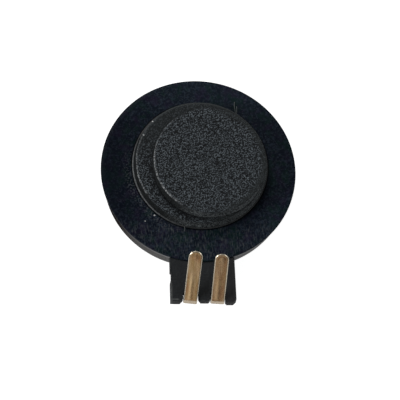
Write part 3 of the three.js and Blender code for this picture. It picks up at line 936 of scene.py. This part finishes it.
def make_film():
    """A disc with a rounded, rolled-down edge and a slightly wavy top."""
    radius, low, top = FILM_RADIUS, FILM_LOW.z, FILM_TOP
    edge = 0.05 * MM
    roll = 0.13 * MM
    roll_drop = 0.018 * MM
    roll_start_drop = 0.002 * MM
    wave_size = 0.7 * MM
    wave_depth = 0.005 * MM
    flat_part = top - 0.001 * MM
    rings = 60
    rolled_top = top - roll_drop
    profile = [(0, low), (radius - edge, low)]
    profile += arc((radius - edge, low + edge), edge, -80, 0, 3)
    profile += arc((radius - edge, rolled_top - edge), edge, 0, 78, 5)
    profile.append((radius - roll, top - roll_start_drop))
    profile += [((radius - roll) * (1 - ring / rings), top) for ring in range(1, rings)]
    profile.append((0, top))
    bm = lathe(profile, AROUND)
    roughen(bm, wave_size, wave_depth, lambda vert: vert.co.z > flat_part)
    return add_piece("film_disc", bm, "black_film", replaces=["cover_film"])


# ---------------------------------------------------------------- foam and tape

PAD_SIDES = 320
PAD_EDGE = 0.06 * MM
PAD_FOOT = 0.02 * MM
PAD_SKIRT = 0.01 * MM  # this much of the wall stays smooth above the tape
CELL_SIZE = 0.08 * MM
CELL_DEPTH = 0.016 * MM
DENT_SIZE = 0.5 * MM
DENT_DEPTH = 0.012 * MM


def make_foam(node):
    """A punched disc with a slightly waisted wall, a rounded top edge and an uneven skin."""
    pad = PADS[node]
    low_radius, top_radius = pad["low_radius"], pad["top_radius"]
    x, y, _, low, high = box_disc(node)
    levels = 10
    rings = 64
    profile = [(0, low), (low_radius * 0.5, low), (low_radius - PAD_FOOT, low)]
    for level in range(1, levels):
        share = level / levels
        straight = low_radius + (top_radius - low_radius) * share
        drawn_in = pad["waist"] * math.sin(math.pi * share)
        profile.append((straight - drawn_in, low + (high - PAD_EDGE - low) * share))
    profile += arc((top_radius - PAD_EDGE, high - PAD_EDGE), PAD_EDGE, 10, 90, 4)
    profile += [((top_radius - PAD_EDGE) * (1 - ring / rings), high) for ring in range(1, rings)]
    profile.append((0, high))
    bm = lathe(profile, PAD_SIDES, (x, y))

    def above_base(vert):
        return vert.co.z > low + PAD_SKIRT

    roughen(bm, CELL_SIZE, CELL_DEPTH, above_base, pad["seed"])
    roughen(bm, DENT_SIZE, DENT_DEPTH, above_base, pad["seed"] + 3)
    look = look_foam(node)
    piece = add_piece(pad["piece"], bm, "foam", replaces=[node], smooth_angle=180, look=look)
    return piece


def make_tape(node, name, radius):
    """A flat disc with rounded edges."""
    x, y, _, low, high = box_disc(node)
    edge = 0.012 * MM
    profile = [
        (0, low),
        (radius - edge, low),
        *arc((radius - edge, low + edge), edge, -60, 0, 2),
        *arc((radius - edge, high - edge), edge, 0, 90, 3),
        (0, high),
    ]
    bm = lathe(profile, AROUND, (x, y))
    return add_piece(name, bm, "adhesive_tape", replaces=[node])


# ---------------------------------------------------------------- contacts

LEAF_WIDTH = 0.7 * MM
LEAF_THICKNESS = 0.1 * MM
LEAF_LENGTH = 2.76 * MM
BEND_RADIUS = 0.25 * MM
FOOT_LENGTH = 1.45 * MM
RIM_WIDTH = 0.065 * MM  # how far in from its edges the strip is rounded
RIM_THICKNESS = 0.3  # share of the thickness that is left at the very edge
RIM_ROUNDNESS = 0.8  # lower is squarer
RIM_WEAR_AND_HIGHLIGHT = 1.6  # how pale the sheared rims and the outside of the bend are, as wear and painted highlight
BEND_WEAR_AND_HIGHLIGHT = 0.7
BEND_WEAR_AND_HIGHLIGHT_LENGTH = 1.2 * BEND_RADIUS
BUMP_FROM_TIP = 0.34 * MM
BUMP_HEIGHT = 0.012 * MM
BUMP_SPREAD = 0.13 * MM
CREASE_OFFSET = 0.06 * MM  # a soft lengthwise ridge from forming, on the strip's -X side
CREASE_HEIGHT = 0.008 * MM
CREASE_SPREAD = 0.10 * MM
CREASE_START = 0.9 * MM  # from the tip
CREASE_FADE = 0.8 * MM
HIGHLIGHT_OFFSET = 0.10 * MM  # a painted highlight streak, on the strip's -X side
HIGHLIGHT_SPREAD = 0.07 * MM
HIGHLIGHT_START = 1.15 * MM  # from the tip
HIGHLIGHT_FADE = 0.5 * MM
BUMP_SHADE_RADIUS = 0.19 * MM  # painted shade round the bump
BUMP_SHADE_WIDTH = 0.035 * MM
BUMP_SHADE_FADE = 0.1 * MM
MERGE_DISTANCE = 0.001 * MM

# Each leaf's slope and its turn about Z in degrees, and how strong its painted highlight streak and the painted
# shade round its bump are.
CONTACTS = {
    "left": {"rise": 47.5, "turn": -5.5, "painted_highlight": 1.0, "bump_shade": 0.3},
    "right": {"rise": 52.6, "turn": -3.2, "painted_highlight": 0.5, "bump_shade": 1.0},
}


def leaf_line(rise):
    """The strip's middle line in the Y, Z plane round its bend's centre, as (y, z, up y, up z, left).

    left is the distance that is left to the tip, and up is the strip's upper side.
    """
    line = []
    bend = math.radians(180 - rise)
    bend_length = BEND_RADIUS * bend
    foot_steps, bend_steps, arm_steps = 14, 28, 60
    for step in range(foot_steps):
        share = step / foot_steps
        y = FOOT_LENGTH * (1 - share)
        line.append((y, -BEND_RADIUS, 0, -1, LEAF_LENGTH + bend_length + y))
    for step in range(bend_steps):
        angle = -math.pi / 2 - bend * step / bend_steps
        out = (math.cos(angle), math.sin(angle))
        left = LEAF_LENGTH + bend_length * (1 - step / bend_steps)
        line.append((BEND_RADIUS * out[0], BEND_RADIUS * out[1], *out, left))
    along = (math.cos(math.radians(rise)), math.sin(math.radians(rise)))
    up = (-along[1], along[0])
    for step in range(arm_steps + 1):
        ease = math.sin(math.pi / 2 * step / arm_steps)
        run = LEAF_LENGTH * ease
        line.append((
            BEND_RADIUS * up[0] + run * along[0],
            BEND_RADIUS * up[1] + run * along[1],
            *up,
            LEAF_LENGTH - run,
        ))
    return line


def on_leaf(left, start, fade):
    """0 at the tip, rising to 1 from start over the length of fade, and 0 again past the leaf."""
    return min(max((left - start) / fade, 0.0), 1.0) if left < LEAF_LENGTH else 0.0


def hill(distance, spread):
    """1 at no distance, falling smoothly to nothing."""
    return math.exp(-(distance / spread) ** 2)


def leaf_surface(left, x):
    """Heights of the upper and lower face and the rim's share, at x across and left from the tip."""
    half = LEAF_WIDTH / 2
    if left < half:
        inside = half - math.hypot(half - left, x)
    else:
        inside = half - abs(x)
    share = min(max(inside, 0.0) / RIM_WIDTH, 1.0)
    roundness = math.sin(share * math.pi / 2) ** RIM_ROUNDNESS
    thick = LEAF_THICKNESS / 2 * (RIM_THICKNESS + (1 - RIM_THICKNESS) * roundness)
    bump = BUMP_HEIGHT * hill(math.hypot(left - BUMP_FROM_TIP, x), BUMP_SPREAD)
    crease = CREASE_HEIGHT * on_leaf(left, CREASE_START, CREASE_FADE) * hill(x + CREASE_OFFSET, CREASE_SPREAD)
    return thick + bump + crease, bump + crease - thick, 1 - share


def painted_highlight_share(left, x):
    """How strong the painted highlight is: a soft lengthwise streak on the leaf's half next to the bend."""
    return on_leaf(left, HIGHLIGHT_START, HIGHLIGHT_FADE) * hill(x + HIGHLIGHT_OFFSET, HIGHLIGHT_SPREAD)


def bump_shade_share(left, x):
    """How dark the painted shade round the bump is: an arch round the bump, inside the strip's rounded tip."""
    from_middle = math.hypot(left - LEAF_WIDTH / 2, x)
    towards_tip = min(max((LEAF_WIDTH / 2 - left) / BUMP_SHADE_FADE + 0.5, 0.0), 1.0)
    return towards_tip * hill(from_middle - BUMP_SHADE_RADIUS, BUMP_SHADE_WIDTH)


def across_strip(half):
    """Places across the strip, closer together over its two rims."""
    rim_steps, face_steps = 5, 20
    rim = min(RIM_WIDTH, half)
    left_rim = [-half + rim * step / rim_steps for step in range(rim_steps)]
    face = [-(half - rim) * (1 - 2 * step / face_steps) for step in range(face_steps + 1)]
    return left_rim + face + [-x for x in reversed(left_rim)]


def make_contact(side):
    """One strip: foot, bend and leaf."""
    contact = CONTACTS[side]
    joint = next(entry for entry in frame["joints"] if entry["name"] == f"{side}_contact_press")
    bend_centre = Vector(joint["pos_m"])
    turn = Matrix.Rotation(math.radians(contact["turn"]), 3, "Z")
    bm = bmesh.new()
    worn_and_highlight = bm.verts.layers.float.new("worn_and_highlight")
    painted_highlight = bm.verts.layers.float.new("painted_highlight")
    bump_shade = bm.verts.layers.float.new("bump_shade")
    rings = []
    for y, z, up_y, up_z, left in leaf_line(contact["rise"]):
        half = LEAF_WIDTH / 2
        if left < half:
            half = math.sqrt(max(half * half - (half - left) ** 2, 0.0))
        on_bend = BEND_WEAR_AND_HIGHLIGHT if LEAF_LENGTH < left < LEAF_LENGTH + BEND_WEAR_AND_HIGHLIGHT_LENGTH else 0.0
        upper, lower = [], []
        for x in across_strip(half):
            top, bottom, rim = leaf_surface(left, x)
            for row, height in ((upper, top), (lower, bottom)):
                point = Vector((x, y + up_y * height, z + up_z * height))
                vert = bm.verts.new(turn @ point + bend_centre)
                # pale rims and bend as wear and painted highlight, a painted highlight streak, and painted shade
                # round the bump
                vert[worn_and_highlight] = max(min(1.0, RIM_WEAR_AND_HIGHLIGHT * rim), on_bend)
                vert[painted_highlight] = contact["painted_highlight"] * painted_highlight_share(left, x)
                vert[bump_shade] = contact["bump_shade"] * bump_shade_share(left, x)
                row.append(vert)
        rings.append(upper + list(reversed(lower)))
    count = len(rings[0])
    for near, far in zip(rings, rings[1:]):
        for index in range(count):
            after = (index + 1) % count
            bm.faces.new((near[index], near[after], far[after], far[index]))
    bm.faces.new(rings[0])
    bmesh.ops.remove_doubles(bm, verts=bm.verts, dist=MERGE_DISTANCE)
    piece = add_piece(f"contact_leaf_{side}", bm, "contact_alloy", body=None, smooth_angle=60,
                      replaces=[f"contact_foot_{side}", f"contact_arm_{side}"])
    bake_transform(piece)
    return piece


# ---------------------------------------------------------------- coils

COIL_BORE = 0.36 * MM
WIRE = 0.072 * MM
WIRE_ARC = 60  # how far each turn of wire shows, in degrees to both sides
COIL_SIDES = 64


def wire_bulge(radius, height, facing):
    """The part of a turn of wire that shows, facing this way in degrees."""
    return arc((radius, height), WIRE / 2, facing - WIRE_ARC, facing + WIRE_ARC, 4)


def make_coil(side):
    """A coil whose outside is ribbed by its turns of wire."""
    low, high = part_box(f"coil_{side}")
    x, y = (low.x + high.x) / 2, (low.y + high.y) / 2
    outer = (high.x - low.x) / 2
    layers = round((high.z - low.z) / WIRE)
    turns = round((outer - COIL_BORE) / WIRE)
    pitch_z = (high.z - low.z) / layers
    pitch_r = (outer - COIL_BORE) / turns
    layer_heights = [low.z + pitch_z * (layer + 0.5) for layer in range(layers)]
    turn_radii = [COIL_BORE + pitch_r * (turn + 0.5) for turn in range(turns)]
    profile = []
    for height in layer_heights:
        profile += wire_bulge(outer - WIRE / 2, height, 0)
    for radius in reversed(turn_radii):
        profile += wire_bulge(radius, high.z - WIRE / 2, 90)
    for height in reversed(layer_heights):
        profile += wire_bulge(COIL_BORE + WIRE / 2, height, 180)
    for radius in turn_radii:
        profile += wire_bulge(radius, low.z + WIRE / 2, 270)
    bm = lathe(profile, COIL_SIDES, (x, y), ring_shaped=True)
    return add_piece(f"wound_coil_{side}", bm, "coil_copper", body="rotor", replaces=[f"coil_{side}"])


# ---------------------------------------------------------------- lint

# Where each speck lies and its radius, in millimetres.
SPECKS = {
    "film_1": (-2.30, -2.53, 2.02, 0.046),
    "film_2": (-2.78, -2.85, 2.02, 0.030),
    "foam_1": (-2.34, 2.44, 2.55, 0.042),
    "foam_2": (-2.81, 1.68, 2.55, 0.036),
}
SPECK_SHAPE = (1, 0.8, 0.6)
SPECK_GRAIN = 0.03 * MM
SPECK_ROUGHNESS = 0.3  # share of its radius
# The points that each fibre runs through, in millimetres.
FIBRES = {
    "film_1": [(1.95, 3.85, 2.02), (1.91, 3.62, 2.06), (1.94, 3.38, 2.10), (1.98, 3.14, 2.07)],
    "film_2": [(2.03, 3.60, 2.02), (2.05, 3.44, 2.06), (2.04, 3.28, 2.08), (2.01, 3.12, 2.05)],
    "pad": [(-0.80, -3.18, 2.30), (-0.80, -3.26, 2.20), (-0.78, -3.33, 2.12), (-0.78, -3.41, 2.03)],
}
FIBRE_RADIUS = 0.018 * MM


def make_lint():
    """A few light specks and short fibres that lie on the film and against the foam."""
    for name, (x, y, z, size) in SPECKS.items():
        bm = bmesh.new()
        bmesh.ops.create_icosphere(bm, subdivisions=3, radius=size * MM)
        bmesh.ops.scale(bm, vec=SPECK_SHAPE, verts=bm.verts)
        roughen(bm, SPECK_GRAIN, SPECK_ROUGHNESS * size * MM, seed=x)
        bmesh.ops.translate(bm, vec=Vector((x, y, z)) * MM, verts=bm.verts)
        add_piece(f"speck_{name}", bm, None, look=GRIT, smooth_angle=180)
    for name, points in FIBRES.items():
        bm = tube([Vector(point) * MM for point in points], FIBRE_RADIUS)
        fibre = add_piece(f"fibre_{name}", bm, None, look=FLUFF, smooth_angle=80)
        fibre.modifiers.new("smooth", "SUBSURF").render_levels = 2


# ---------------------------------------------------------------- CAD nodes that stay

WELD_DISTANCE = 0.0005 * MM
FLAT_ANGLE = math.radians(1)
BEVEL_ANGLE = math.radians(35)
SMALL_BEVEL = 0.012  # in millimetres, as are the others
BEVELS = {"terminal_block": 0.04, "base_plate": 0.03}


def refine(node, slot, bevel):
    """Gives a CAD node its material and small rounded edges, without moving its vertices."""
    piece = frame["nodes"][node]
    data = piece.data
    if "custom_normal" in data.attributes:
        data.attributes.remove(data.attributes["custom_normal"])
    data.materials.clear()
    data.materials.append(LOOKS[slot])
    data.shade_smooth()
    weld = piece.modifiers.new("weld", "WELD")
    weld.merge_threshold = WELD_DISTANCE
    flat = piece.modifiers.new("flat", "DECIMATE")
    flat.decimate_type = "DISSOLVE"
    flat.angle_limit = FLAT_ANGLE
    rounding = piece.modifiers.new("rounding", "BEVEL")
    rounding.width = bevel * MM
    rounding.segments = 3
    rounding.limit_method = "ANGLE"
    rounding.angle_limit = BEVEL_ANGLE
    rounding.harden_normals = False
    weighted = piece.modifiers.new("weighted", "WEIGHTED_NORMAL")
    weighted.keep_sharp = True


# ---------------------------------------------------------------- the motor

make_case()
make_film()
for pad_node in PADS:
    make_foam(pad_node)
make_tape("foam_adhesive", "tape_lower", LOWER_TAPE_RADIUS)
make_tape("foam_adhesive_mid", "tape_upper", UPPER_TAPE_RADIUS)
for contact_side in CONTACTS:
    make_contact(contact_side)
for coil_side in ("left", "right"):
    make_coil(coil_side)
make_lint()

replaced = {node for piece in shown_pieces() for node in piece.get("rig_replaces", [])}
slot_of = {entry["node"]: entry["material_slot"] for entry in frame["record"]["subparts"]}
for node_name in frame["nodes"]:
    if node_name not in replaced:
        refine(node_name, slot_of[node_name], BEVELS.get(node_name, SMALL_BEVEL))
